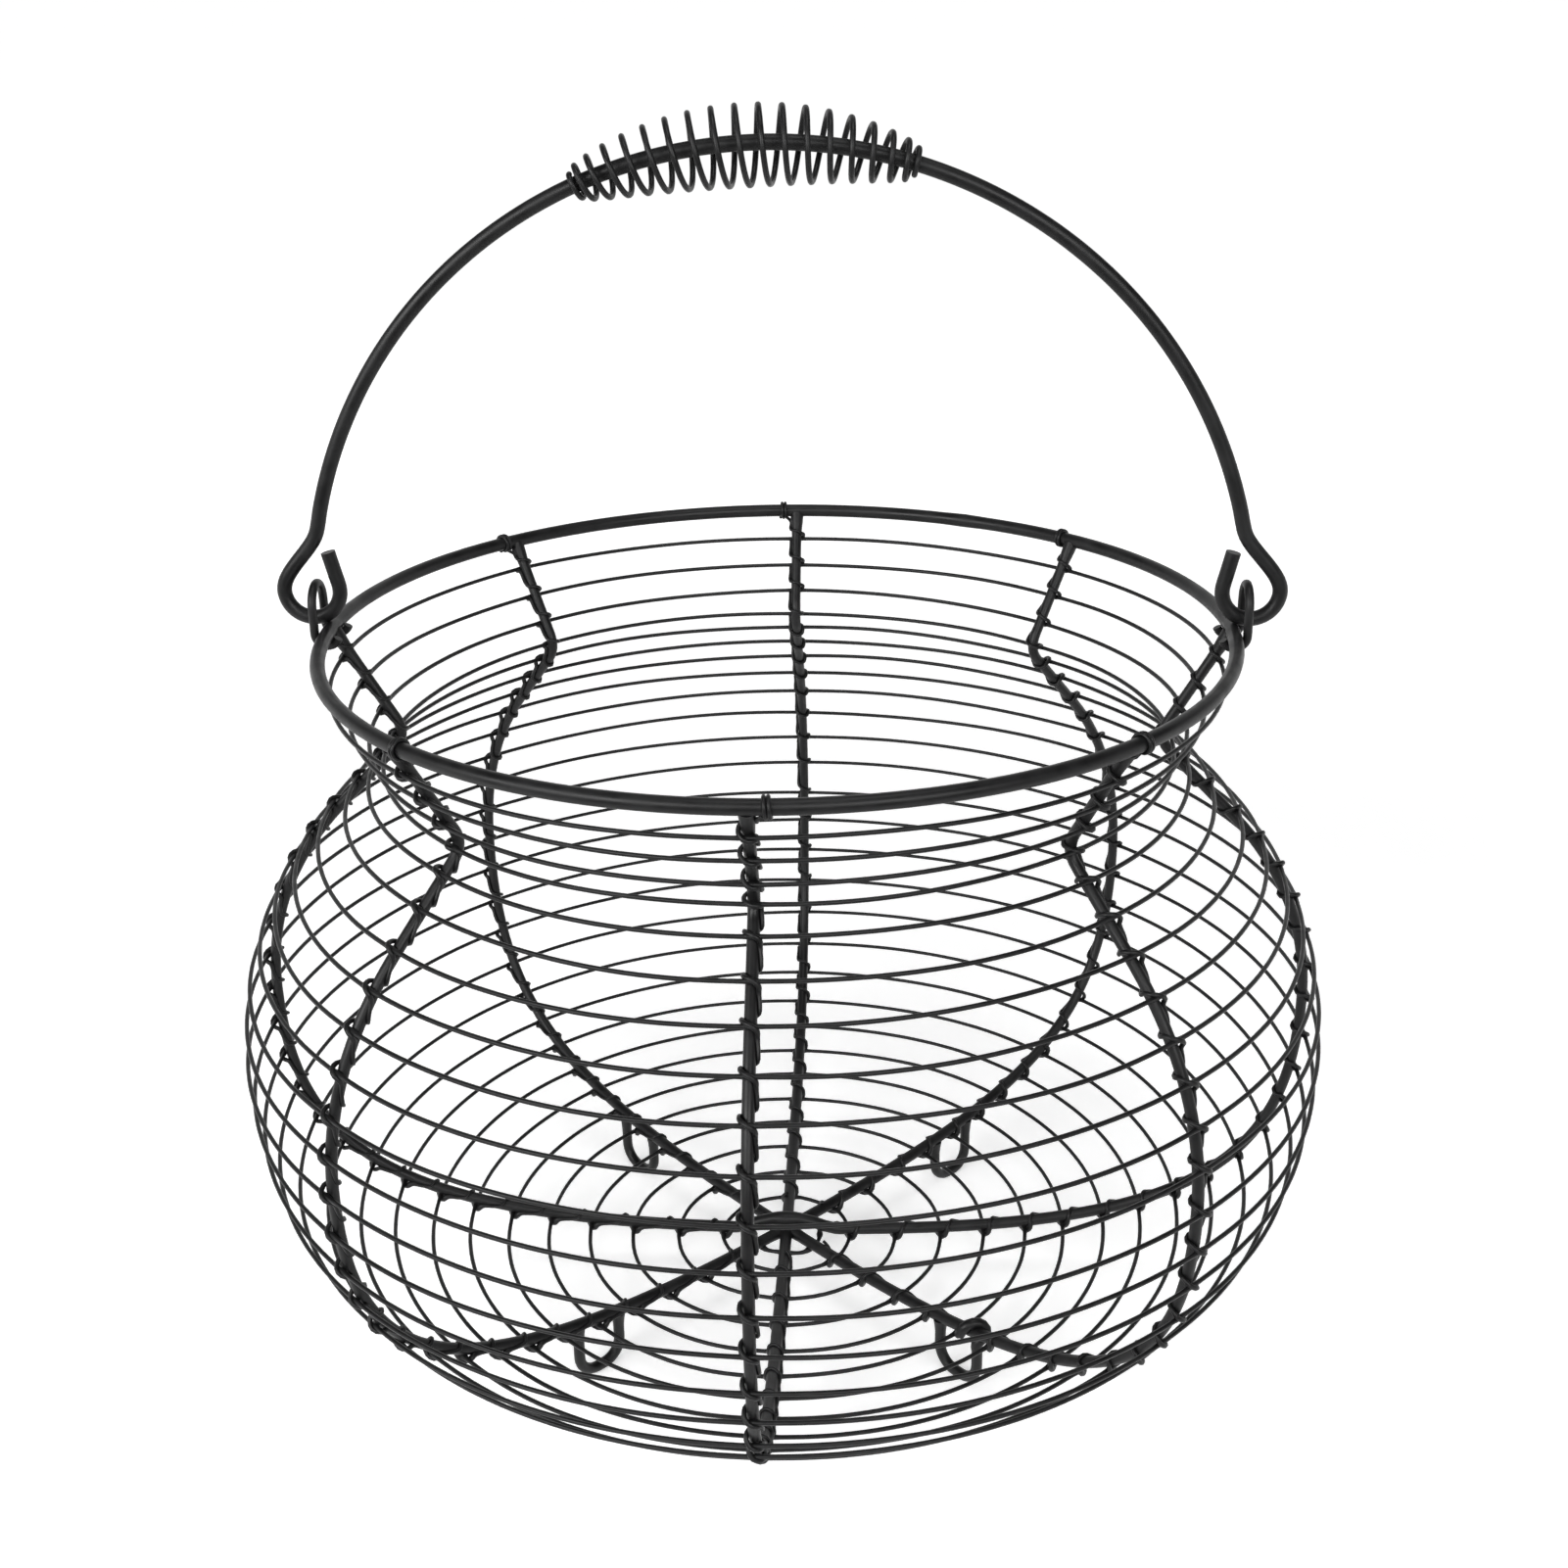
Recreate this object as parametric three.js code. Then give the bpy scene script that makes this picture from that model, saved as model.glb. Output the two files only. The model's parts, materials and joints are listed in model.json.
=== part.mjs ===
// Wire egg basket: thin hoops bound to eight ribs under a round rim, with four wire feet and a
// swinging handle that hooks into two eyes and carries a barrel-shaped coil as its grip.
// Millimetres, +Z up, +X to the right and -Y to the front. The basket stands on its feet at z = 0,
// and the origin is under its centre.

import * as THREE from 'three';

// Wire diameters
const RIM_WIRE = 3.6;
const RIB_WIRE = 2.8;
const HOOP_WIRE = 1.1;
const BINDING_WIRE = 0.9;
const FOOT_WIRE = 2.9;
const EYE_WIRE = 2.2;
const BAIL_WIRE = 3.7;
const GRIP_WIRE = 1.4;

// The gap kept between wires that touch on the real basket
const SEAT_GAP = 0.25;

// Outline of the body, on the centre line of a rib
const RIM_RADIUS = 112;
const RIM_HEIGHT = 190;
const NECK_RADIUS = 95.3; // where the two straight runs of a rib would meet
const NECK_HEIGHT = 161.5;
const NECK_BEND = 5; // from that corner to each end of the bend
const SHOULDER_RUN = 28.3; // straight run below the neck corner
const SHOULDER_ANGLE = 44; // degrees from the vertical
const BELLY_RADIUS = 137.3;
const BELLY_HEIGHT = 87;
const BASE_HEIGHT = 12.5; // of the ribs where they meet
const BOWL_FULLNESS = 0.76; // 0.55 would be a quarter of an ellipse, 1 a square corner

// Hoops, counted from the rim down; each pitch is its zone's growth times the pitch before it
const FLARE_HOOPS = 4; // the last of them lies in the neck
const SHOULDER_HOOPS = 3;
const SHOULDER_GROWTH = 1.1;
const WALL_HOOPS = 15;
const WALL_PITCH = 10.1; // on average
const WALL_GROWTH = 1.003;
const BASE_HOOPS = 6;
const BASE_GROWTH = 1.04;
const LAST_HOOP_RADIUS = 17.6;
const CENTRE_RING_RADIUS = 9.5;

// Bindings: one turn per hoop, slanting across the rib by this much to each side of its crossing
const BINDING_SLANT = 1.3;
const BINDING_TAIL = 4;
const TIE_OFFSET = 3.2; // from the middle of a rib to the turn round the rim beside it

// Crossing of the through ribs: the left-right rib rises over the front-back rib
const CROSSING_RISE_START = 14;
const CROSSING_RISE_END = 4;

// Feet
const FOOT_RADIUS = 66.5; // from the basket's centre to the middle of a foot
const FOOT_WIDTH = 13;
const FOOT_CORNER = 5.5;

// Eyes
const EYE_WIDTH = 10.4;
const EYE_HEIGHT = 11.5; // above the middle of the rim
const EYE_CLASP = 160; // degrees that each leg runs round the rim

// Handle
const ARCH_RADIUS = 116; // about the middle of the rim
const ARCH_END_HEIGHT = 25.5; // above the rim, where the arch bends out to the hook
const HOOK_RADIUS = 7;
const HOOK_OUTSET = 4; // from the middle of the rim out to the middle of the hook
const HOOK_BEND_PULL = 5; // softness of the bend between arch and hook
const HOOK_LEAN = 13; // degrees that the hook's free end leans towards the arch
const HOOK_END_RUN = 8.5;

// Grip
const GRIP_TURNS = 18.5;
const GRIP_LENGTH = 80.5; // along the arch
const GRIP_SHIFT = -5.9; // along the arch, from its crown
const GRIP_DIAMETER = 18.9; // over the widest turn
const GRIP_END_PITCH = 1.2;
const GRIP_PITCH_POWER = 5; // the higher, the shorter the close-wound ends

// Facets of each wire's section, and steps along the round stretches
const RIM_SIDES = 8;
const RIM_STEPS = 48;
const RIB_SIDES = 6;
const HOOP_SIDES = 4;
const HOOP_STEPS = 24;
const SMALL_HOOP_STEPS = 16;
const SMALL_HOOP_RADIUS = 35;
const BINDING_SIDES = 3;
const TIE_STEPS = 6;
const FOOT_SIDES = 8;
const FOOT_CORNER_STEPS = 4;
const EYE_SIDES = 6;
const EYE_ARCH_STEPS = 6;
const EYE_CLASP_STEPS = 8;
const BAIL_SIDES = 8;
const ARCH_HALF_STEPS = 14;
const HOOK_BEND_STEPS = 5;
const HOOK_STEPS = 9;
const GRIP_SIDES = 5;
const GRIP_STEPS = 8; // per turn

// Black paint, satin
const PAINT_COLOUR = 0x2a2a2b;
const PAINT_ROUGHNESS = 0.48;
const PAINT_METALNESS = 0.25;

// Sections: a regular polygon with the area of the round wire

// From the middle of a section to its corners
function reach(wire, sides) {
  const unitPolygonArea = (sides / 2) * Math.sin((2 * Math.PI) / sides);
  return (wire / 2) * Math.sqrt(Math.PI / unitPolygonArea);
}

// From the middle of a section to its flats
function flat(wire, sides) {
  return reach(wire, sides) * Math.cos(Math.PI / sides);
}

const RIM_REACH = reach(RIM_WIRE, RIM_SIDES);
const RIB_REACH = reach(RIB_WIRE, RIB_SIDES);
const HOOP_REACH = reach(HOOP_WIRE, HOOP_SIDES);
const BINDING_REACH = reach(BINDING_WIRE, BINDING_SIDES);
const FOOT_REACH = reach(FOOT_WIRE, FOOT_SIDES);
const EYE_REACH = reach(EYE_WIRE, EYE_SIDES);
const BAIL_REACH = reach(BAIL_WIRE, BAIL_SIDES);
const GRIP_REACH = reach(GRIP_WIRE, GRIP_SIDES);

// Wires swept along points

// A path with one section at each of its points, square to the bend there.
class WirePath extends THREE.Curve {
  constructor(points) {
    super();
    this.points = points;
  }

  indexAt(u) {
    return Math.round(u * (this.points.length - 1));
  }

  runAfter(index) {
    return this.points[index + 1].clone().sub(this.points[index]).normalize();
  }

  getPointAt(u) {
    return this.points[this.indexAt(u)].clone();
  }

  getTangentAt(u) {
    const index = this.indexAt(u);
    const last = this.points.length - 1;
    const before = this.runAfter(Math.max(index - 1, 0));
    const after = this.runAfter(Math.min(index, last - 1));
    return before.add(after).normalize();
  }
}

// A flat of the section faces along the plane of a flat path.
function wireSection(wire, sides) {
  const radius = reach(wire, sides);
  const corners = [];
  for (let i = 0; i < sides; i += 1) {
    const angle = Math.PI / 2 + ((i + 0.5) / sides) * 2 * Math.PI;
    corners.push(new THREE.Vector2(radius * Math.cos(angle), radius * Math.sin(angle)));
  }
  return new THREE.Shape(corners);
}

function wireAlong(points, wire, sides) {
  return new THREE.ExtrudeGeometry(wireSection(wire, sides), {
    steps: points.length - 1,
    extrudePath: new WirePath(points),
  });
}

function ringOf(radius, wire, sides, steps) {
  return new THREE.TorusGeometry(radius, reach(wire, sides), sides, steps);
}

function radians(degrees) {
  return THREE.MathUtils.degToRad(degrees);
}

// Mirrors a flat path that starts on the plane x = 0, and joins both halves there.
function mirroredAcrossX(half) {
  const other = half.slice(1).reverse();
  return [...other.map((p) => new THREE.Vector3(-p.x, p.y, p.z)), ...half];
}

// Rib outline, from the middle of the rim to the middle of the base (x is the radius, y the height)

function makeRibOutline() {
  const rim = new THREE.Vector2(RIM_RADIUS, RIM_HEIGHT);
  const neck = new THREE.Vector2(NECK_RADIUS, NECK_HEIGHT);
  const slope = radians(SHOULDER_ANGLE);
  const flare = neck.clone().sub(rim).normalize();
  const shoulder = new THREE.Vector2(Math.sin(slope), -Math.cos(slope));
  const bendStart = neck.clone().addScaledVector(flare, -NECK_BEND);
  const bendEnd = neck.clone().addScaledVector(shoulder, NECK_BEND);
  const shoulderEnd = neck.clone().addScaledVector(shoulder, SHOULDER_RUN);
  const cornerHeight = shoulderEnd.y - (BELLY_RADIUS - shoulderEnd.x) / Math.tan(slope);
  const bowlDepth = BELLY_HEIGHT - BASE_HEIGHT;
  return new THREE.Path()
    .moveTo(rim.x, rim.y)
    .lineTo(bendStart.x, bendStart.y)
    .quadraticCurveTo(neck.x, neck.y, bendEnd.x, bendEnd.y)
    .lineTo(shoulderEnd.x, shoulderEnd.y)
    .quadraticCurveTo(BELLY_RADIUS, cornerHeight, BELLY_RADIUS, BELLY_HEIGHT)
    .bezierCurveTo(
      BELLY_RADIUS,
      BELLY_HEIGHT - BOWL_FULLNESS * bowlDepth,
      BOWL_FULLNESS * BELLY_RADIUS,
      BASE_HEIGHT,
      0,
      BASE_HEIGHT,
    );
}

const ribOutline = makeRibOutline();
const ribLength = ribOutline.getLength();
const [bendStartStation, bendEndStation, shoulderStation] = ribOutline.getCurveLengths();

function outlinePoint(station) {
  return ribOutline.getPoint(station / ribLength);
}

// Points out of the basket, square to the rib.
function outlineNormal(station) {
  const along = ribOutline.getTangent(station / ribLength);
  return new THREE.Vector2(-along.y, along.x);
}

// Stations of the hoops: lengths along a rib from the middle of the rim

function spread(from, to, count, growth) {
  const stations = [];
  let step = 1;
  let sum = 0;
  for (let i = 0; i < count; i += 1) {
    sum += step;
    stations.push(sum);
    step *= growth;
  }
  return stations.map((share) => from + ((to - from) * share) / sum);
}

const neckStation = (bendStartStation + bendEndStation) / 2;
const baseStation = shoulderStation + WALL_HOOPS * WALL_PITCH;
const boundStations = [
  ...spread(0, neckStation, FLARE_HOOPS, 1),
  ...spread(neckStation, shoulderStation, SHOULDER_HOOPS, SHOULDER_GROWTH),
  ...spread(shoulderStation, baseStation, WALL_HOOPS, WALL_GROWTH),
  ...spread(baseStation, ribLength - LAST_HOOP_RADIUS, BASE_HOOPS, BASE_GROWTH),
];
const hoopStations = [...boundStations, ribLength - CENTRE_RING_RADIUS];
const hoopOffset = flat(RIB_WIRE, RIB_SIDES) + SEAT_GAP + HOOP_REACH;

// Faceted rib: one joint at each hoop, at both ends of the neck bend and at the ends of the wire

const ribTopStation = RIM_REACH + SEAT_GAP;
const ribJoints = [ribTopStation, bendStartStation, bendEndStation, ...hoopStations, ribLength];
ribJoints.sort((a, b) => a - b);

// The rib's middle and outward normal at a station, on the straight runs between its joints.
function ribFrame(station) {
  const next = Math.max(1, ribJoints.findIndex((joint) => joint >= station));
  const [from, to] = [ribJoints[next - 1], ribJoints[next]];
  const share = (station - from) / (to - from);
  return {
    middle: outlinePoint(from).lerp(outlinePoint(to), share),
    normal: outlineNormal(from).lerp(outlineNormal(to), share).normalize(),
  };
}

// A point beside the rib in the plane y = 0, given sideways and outward of its middle.
function besideRib(station, sideways, outward) {
  const { middle, normal } = ribFrame(station);
  const place = middle.addScaledVector(normal, outward);
  return new THREE.Vector3(place.x, sideways, place.y);
}

// The rib station that lies at this radius from the basket's axis, within the base.
function baseStationAt(radius) {
  const next = ribJoints.findIndex((j) => j > baseStation && outlinePoint(j).x < radius);
  const [from, to] = [ribJoints[next - 1], ribJoints[next]];
  const [outer, inner] = [outlinePoint(from).x, outlinePoint(to).x];
  return from + ((to - from) * (outer - radius)) / (outer - inner);
}

function ribPoints(endStation) {
  const stations = ribJoints.filter((joint) => joint < endStation);
  return [...stations, endStation].map((station) => besideRib(station, 0, 0));
}

// Body pieces

function makeFrontBackRib() {
  return wireAlong(mirroredAcrossX(ribPoints(ribLength).reverse()), RIB_WIRE, RIB_SIDES);
}

function makeLeftRightRib() {
  const wall = ribPoints(ribLength - CROSSING_RISE_START);
  const crossingHeight = BASE_HEIGHT + 2 * RIB_REACH + SEAT_GAP;
  const crown = new THREE.Vector3(0, 0, crossingHeight);
  const riseEnd = new THREE.Vector3(CROSSING_RISE_END, 0, crossingHeight);
  const half = [crown, riseEnd, ...wall.reverse()];
  return wireAlong(mirroredAcrossX(half), RIB_WIRE, RIB_SIDES);
}

function makeDiagonalRib() {
  const endRadius = (RIB_REACH + SEAT_GAP) * Math.SQRT2 + RIB_REACH;
  return wireAlong(ribPoints(ribLength - endRadius), RIB_WIRE, RIB_SIDES);
}

function hoopPlace(station) {
  return outlinePoint(station).addScaledVector(outlineNormal(station), hoopOffset);
}

function makeHoop(radius) {
  const steps = radius < SMALL_HOOP_RADIUS ? SMALL_HOOP_STEPS : HOOP_STEPS;
  return ringOf(radius, HOOP_WIRE, HOOP_SIDES, steps);
}

// One turn round the rim, beside the rib: up its outside, over its top and down its inside.
function tiePoints() {
  const halfStep = Math.PI / TIE_STEPS;
  const radius = (RIM_REACH + SEAT_GAP + BINDING_REACH) / Math.cos(halfStep);
  const points = [];
  for (let angle = -2 * halfStep; angle < Math.PI + halfStep; angle += 2 * halfStep) {
    const x = RIM_RADIUS + radius * Math.cos(angle);
    points.push(new THREE.Vector3(x, TIE_OFFSET, RIM_HEIGHT + radius * Math.sin(angle)));
  }
  return points;
}

// Runs outside over each hoop, from one side of the rib to the other, and inside between hoops.
function bindingPoints(startsWithTie) {
  const side = RIB_REACH + SEAT_GAP + BINDING_REACH;
  const outside = hoopOffset + HOOP_REACH + SEAT_GAP + BINDING_REACH;
  const points = startsWithTie ? tiePoints() : [];
  let before = 0;
  for (const station of boundStations) {
    const between = (before + station) / 2;
    points.push(besideRib(between - BINDING_SLANT, side, -side));
    points.push(besideRib(between + BINDING_SLANT, -side, -side));
    points.push(besideRib(station - BINDING_SLANT, -side, outside));
    points.push(besideRib(station + BINDING_SLANT, side, outside));
    before = station;
  }
  points.push(besideRib(before + BINDING_TAIL, side, 0));
  return points;
}

// A loop in the plane of a rib, hanging under it, with its flat underside on the ground.
function footPoints() {
  const ground = flat(FOOT_WIRE, FOOT_SIDES);
  const cornerX = FOOT_WIDTH / 2 - FOOT_CORNER;
  const legTop = (radius) => {
    const station = baseStationAt(radius - FOOT_REACH);
    return besideRib(station, 0, RIB_REACH + SEAT_GAP).z;
  };
  const points = [];
  for (const side of [-1, 1]) {
    const radius = FOOT_RADIUS + (side * FOOT_WIDTH) / 2;
    const leg = [new THREE.Vector3(radius, 0, legTop(radius))];
    for (let i = 0; i <= FOOT_CORNER_STEPS; i += 1) {
      const angle = (i / FOOT_CORNER_STEPS) * (Math.PI / 2);
      const x = FOOT_RADIUS + side * (cornerX + FOOT_CORNER * Math.cos(angle));
      leg.push(new THREE.Vector3(x, 0, ground + FOOT_CORNER * (1 - Math.sin(angle))));
    }
    points.push(...(side < 0 ? leg : leg.reverse()));
  }
  return points;
}

// An upright loop outside the rim whose legs run under the rim and up its inside.
const claspRadius = (RIM_REACH + SEAT_GAP + EYE_REACH) / Math.cos(radians(EYE_CLASP) / 2 / EYE_CLASP_STEPS);

function eyePoints() {
  const halfWidth = EYE_WIDTH / 2;
  const half = [];
  for (let i = 0; i <= EYE_ARCH_STEPS / 2; i += 1) {
    const angle = (i / EYE_ARCH_STEPS) * Math.PI;
    const y = halfWidth * Math.sin(angle);
    const z = RIM_HEIGHT + EYE_HEIGHT - halfWidth * (1 - Math.cos(angle));
    half.push(new THREE.Vector3(RIM_RADIUS + claspRadius, y, z));
  }
  for (let i = 0; i <= EYE_CLASP_STEPS; i += 1) {
    const angle = -(i / EYE_CLASP_STEPS) * radians(EYE_CLASP);
    const x = RIM_RADIUS + claspRadius * Math.cos(angle);
    half.push(new THREE.Vector3(x, halfWidth, RIM_HEIGHT + claspRadius * Math.sin(angle)));
  }
  const other = half.slice(1).reverse();
  return [...other.map((p) => new THREE.Vector3(p.x, -p.y, p.z)), ...half];
}

// Handle pieces, about the hinge line where the hooks cross over the rim

const hingeHeight = RIM_HEIGHT + RIM_REACH + SEAT_GAP + BAIL_REACH;
const archCentre = RIM_HEIGHT - hingeHeight;

function bailPoints() {
  const hookRise = Math.sqrt(HOOK_RADIUS ** 2 - HOOK_OUTSET ** 2);
  const hookMiddle = new THREE.Vector2(RIM_RADIUS + HOOK_OUTSET, hookRise);
  const archEnd = Math.asin(ARCH_END_HEIGHT / ARCH_RADIUS);
  const start = new THREE.Vector2(Math.cos(archEnd), Math.sin(archEnd)).multiplyScalar(ARCH_RADIUS);
  start.y += archCentre;
  const hookTop = new THREE.Vector2(hookMiddle.x + HOOK_RADIUS, hookMiddle.y);
  const bend = new THREE.CubicBezierCurve(
    start,
    new THREE.Vector2(Math.sin(archEnd), -Math.cos(archEnd)).multiplyScalar(HOOK_BEND_PULL).add(start),
    new THREE.Vector2(hookTop.x, hookTop.y + HOOK_BEND_PULL),
    hookTop,
  );
  const outline = [];
  for (let i = 0; i < ARCH_HALF_STEPS; i += 1) {
    const angle = Math.PI / 2 - (i / ARCH_HALF_STEPS) * (Math.PI / 2 - archEnd);
    outline.push(new THREE.Vector2(Math.cos(angle), Math.sin(angle)).multiplyScalar(ARCH_RADIUS));
    outline[i].y += archCentre;
  }
  outline.push(...bend.getPoints(HOOK_BEND_STEPS));
  const sweep = Math.PI + radians(HOOK_LEAN);
  for (let i = 1; i <= HOOK_STEPS; i += 1) {
    const angle = -(i / HOOK_STEPS) * sweep;
    const spoke = new THREE.Vector2(Math.cos(angle), Math.sin(angle)).multiplyScalar(HOOK_RADIUS);
    outline.push(spoke.add(hookMiddle));
  }
  const tip = new THREE.Vector2(Math.sin(radians(HOOK_LEAN)), Math.cos(radians(HOOK_LEAN)));
  outline.push(tip.multiplyScalar(HOOK_END_RUN).add(outline[outline.length - 1]));
  return mirroredAcrossX(outline.map((p) => new THREE.Vector3(p.x, 0, p.y)));
}

// A right-handed coil about the arch, close-wound on the wire at its ends and wide in its middle.
function gripPoints() {
  const endRadius = (BAIL_REACH + SEAT_GAP + GRIP_REACH) / Math.cos(Math.PI / GRIP_STEPS);
  const swell = (GRIP_DIAMETER - GRIP_WIRE) / 2 - endRadius;
  const endLength = GRIP_TURNS * GRIP_END_PITCH;
  const points = [];
  const count = Math.round(GRIP_TURNS * GRIP_STEPS);
  for (let i = 0; i <= count; i += 1) {
    const share = i / count;
    const fromMiddle = 2 * share - 1;
    const taper = Math.sign(fromMiddle) * Math.abs(fromMiddle) ** (GRIP_PITCH_POWER + 1);
    const opened = (fromMiddle * (GRIP_PITCH_POWER + 1) - taper) / (2 * GRIP_PITCH_POWER);
    const along = GRIP_SHIFT + (endLength * fromMiddle) / 2 + (GRIP_LENGTH - endLength) * opened;
    const archAngle = Math.PI / 2 - along / ARCH_RADIUS;
    const turn = share * GRIP_TURNS * 2 * Math.PI;
    const radius = endRadius + swell * Math.sin(Math.PI * share);
    const fromArchCentre = ARCH_RADIUS + radius * Math.cos(turn);
    points.push(
      new THREE.Vector3(
        fromArchCentre * Math.cos(archAngle),
        -radius * Math.sin(turn),
        archCentre + fromArchCentre * Math.sin(archAngle),
      ),
    );
  }
  return points;
}

// The least clear distance between stretches of one wound wire that lie at least half a turn apart.
function leastSelfGap(points, wire, stepsPerTurn) {
  let least = Infinity;
  for (let i = 0; i < points.length; i += 1) {
    for (let j = i + stepsPerTurn / 2; j + 1 < points.length; j += 1) {
      const run = new THREE.Line3(points[j], points[j + 1]);
      const nearest = run.closestPointToPoint(points[i], true, new THREE.Vector3());
      least = Math.min(least, nearest.distanceTo(points[i]) - wire);
    }
  }
  return least;
}

// Assembly

function addPiece(parent, name, geometry) {
  const paint = new THREE.MeshStandardMaterial({
    color: PAINT_COLOUR,
    roughness: PAINT_ROUGHNESS,
    metalness: PAINT_METALNESS,
  });
  const piece = new THREE.Mesh(geometry, paint);
  piece.name = name;
  parent.add(piece);
  return piece;
}

const RIB_NAMES = ['right', 'back_right', 'back', 'back_left', 'left', 'front_left', 'front', 'front_right'];
const RIB_SPACING = (2 * Math.PI) / RIB_NAMES.length;

function addBody(parent) {
  addPiece(parent, 'rim', ringOf(RIM_RADIUS, RIM_WIRE, RIM_SIDES, RIM_STEPS)).position.z = RIM_HEIGHT;
  addPiece(parent, 'rib_left_right', makeLeftRightRib());
  addPiece(parent, 'rib_front_back', makeFrontBackRib()).rotation.z = Math.PI / 2;
  hoopStations.forEach((station, i) => {
    const place = hoopPlace(station);
    const name = `hoop_${String(i + 1).padStart(2, '0')}`;
    addPiece(parent, name, makeHoop(place.x)).position.z = place.y;
  });
  RIB_NAMES.forEach((place, i) => {
    const rib = new THREE.Group();
    rib.rotation.z = i * RIB_SPACING;
    parent.add(rib);
    const isDiagonal = i % 2 === 1;
    const hasEye = i % 4 === 0;
    const binding = bindingPoints(!hasEye);
    addPiece(rib, `binding_${place}`, wireAlong(binding, BINDING_WIRE, BINDING_SIDES));
    if (isDiagonal) {
      addPiece(rib, `rib_${place}`, makeDiagonalRib());
      addPiece(rib, `foot_${place}`, wireAlong(footPoints(), FOOT_WIRE, FOOT_SIDES));
    }
    if (hasEye) {
      addPiece(rib, `eye_${place}`, wireAlong(eyePoints(), EYE_WIRE, EYE_SIDES));
    }
  });
}

function addHandle(parent) {
  const handle = new THREE.Group();
  handle.position.z = hingeHeight;
  parent.add(handle);
  const coil = gripPoints();
  addPiece(handle, 'bail', wireAlong(bailPoints(), BAIL_WIRE, BAIL_SIDES));
  addPiece(handle, 'grip_coil', wireAlong(coil, GRIP_WIRE, GRIP_SIDES));
  const gap = leastSelfGap(coil, 2 * GRIP_REACH, GRIP_STEPS);
  console.log(`grip_coil: least gap to itself ${gap.toFixed(2)} mm`);
}

const basket = new THREE.Group();
basket.name = 'egg_basket';
addBody(basket);
addHandle(basket);

export default basket;
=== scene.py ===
"""Wire egg basket: every piece as round wire under satin black paint, on a pale floor.

Metres, +Z up, +X to the right and -Y to the front. The basket stands on its feet at z = 0.
"""

import json
import math
import random
from bisect import bisect_left

import bpy
from bpy.props import FloatProperty, FloatVectorProperty, IntProperty, PointerProperty
from mathutils import Matrix, Vector
from mathutils.geometry import interpolate_bezier


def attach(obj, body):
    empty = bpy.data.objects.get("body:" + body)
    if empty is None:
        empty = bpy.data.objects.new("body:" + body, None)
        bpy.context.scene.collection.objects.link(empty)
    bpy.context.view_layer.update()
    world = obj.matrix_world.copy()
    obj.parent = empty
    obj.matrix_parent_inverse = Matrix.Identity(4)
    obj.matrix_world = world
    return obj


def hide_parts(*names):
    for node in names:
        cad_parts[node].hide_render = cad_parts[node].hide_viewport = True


bl_info = {
    "name": "Wire Egg Basket",
    "version": (1, 0, 0),
    "blender": (4, 5, 0),
    "location": "View3D > Sidebar > Egg Basket",
    "description": "A wire egg basket with bound hoops, wire feet and a coil-gripped handle",
    "category": "Add Mesh",
}

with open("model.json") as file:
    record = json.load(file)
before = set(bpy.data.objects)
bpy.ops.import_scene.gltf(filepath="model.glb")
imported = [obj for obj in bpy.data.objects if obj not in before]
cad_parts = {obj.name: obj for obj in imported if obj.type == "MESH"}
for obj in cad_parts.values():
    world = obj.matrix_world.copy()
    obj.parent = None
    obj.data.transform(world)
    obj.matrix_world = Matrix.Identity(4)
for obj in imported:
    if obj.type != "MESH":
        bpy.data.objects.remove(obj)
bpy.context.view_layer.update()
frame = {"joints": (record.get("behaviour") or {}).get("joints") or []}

MM = 0.001
HINGE_HEIGHT = frame["joints"][0]["pos_m"][2]
RIB_NAMES = (
    "right",
    "back_right",
    "back",
    "back_left",
    "left",
    "front_left",
    "front",
    "front_right",
)
RIB_SPACING = math.tau / len(RIB_NAMES)


# Settings


def length(name, description, millimetres):
    """A length that a user may set."""
    return FloatProperty(
        name=name,
        description=description,
        default=millimetres * MM,
        precision=5,
        unit="LENGTH",
    )


def number(name, description, value):
    """A plain number that a user may set."""
    return FloatProperty(name=name, description=description, default=value)


def angle(name, description, degrees):
    """An angle that a user may set."""
    return FloatProperty(
        name=name,
        description=description,
        default=math.radians(degrees),
        subtype="ANGLE",
    )


class BasketWires(bpy.types.PropertyGroup):
    """Diameters of the wires."""

    rim: length("Rim", "Wire of the rim ring", 3.6)
    rib: length("Ribs", "Wire of the ribs", 2.8)
    hoop: length("Hoops", "Wire of the hoops", 1.1)
    binding: length("Bindings", "Wire that lashes the hoops to the ribs", 0.95)
    foot: length("Feet", "Wire of the feet", 2.9)
    eye: length("Eyes", "Wire of the eyes that hold the handle", 2.2)
    bail: length("Handle", "Wire of the handle", 3.7)
    grip: length("Grip", "Wire of the grip coil", 1.4)


class BasketBody(bpy.types.PropertyGroup):
    """Outline of the body, on the centre line of a rib."""

    rim_radius: length("Rim radius", "To the middle of the rim's wire", 112)
    rim_height: length("Rim height", "Of the middle of the rim's wire", 190)
    neck_radius: length("Neck radius", "Where the rib's straight runs would meet", 95.3)
    neck_height: length("Neck height", "Where the rib's straight runs would meet", 161.5)
    neck_bend: length("Neck bend", "From the neck corner to each end of the bend", 5)
    shoulder_run: length("Shoulder run", "Straight run below the neck corner", 28.3)
    shoulder_angle: angle("Shoulder angle", "From the vertical", 44)
    belly_radius: length("Belly radius", "At the widest place", 137.3)
    belly_height: length("Belly height", "Of the widest place", 87)
    base_height: length("Base height", "Of the ribs where they meet", 12.5)
    bowl_fullness: number(
        "Bowl fullness", "0.55 is a quarter of an ellipse and 1 a square corner", 0.76
    )


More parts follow.
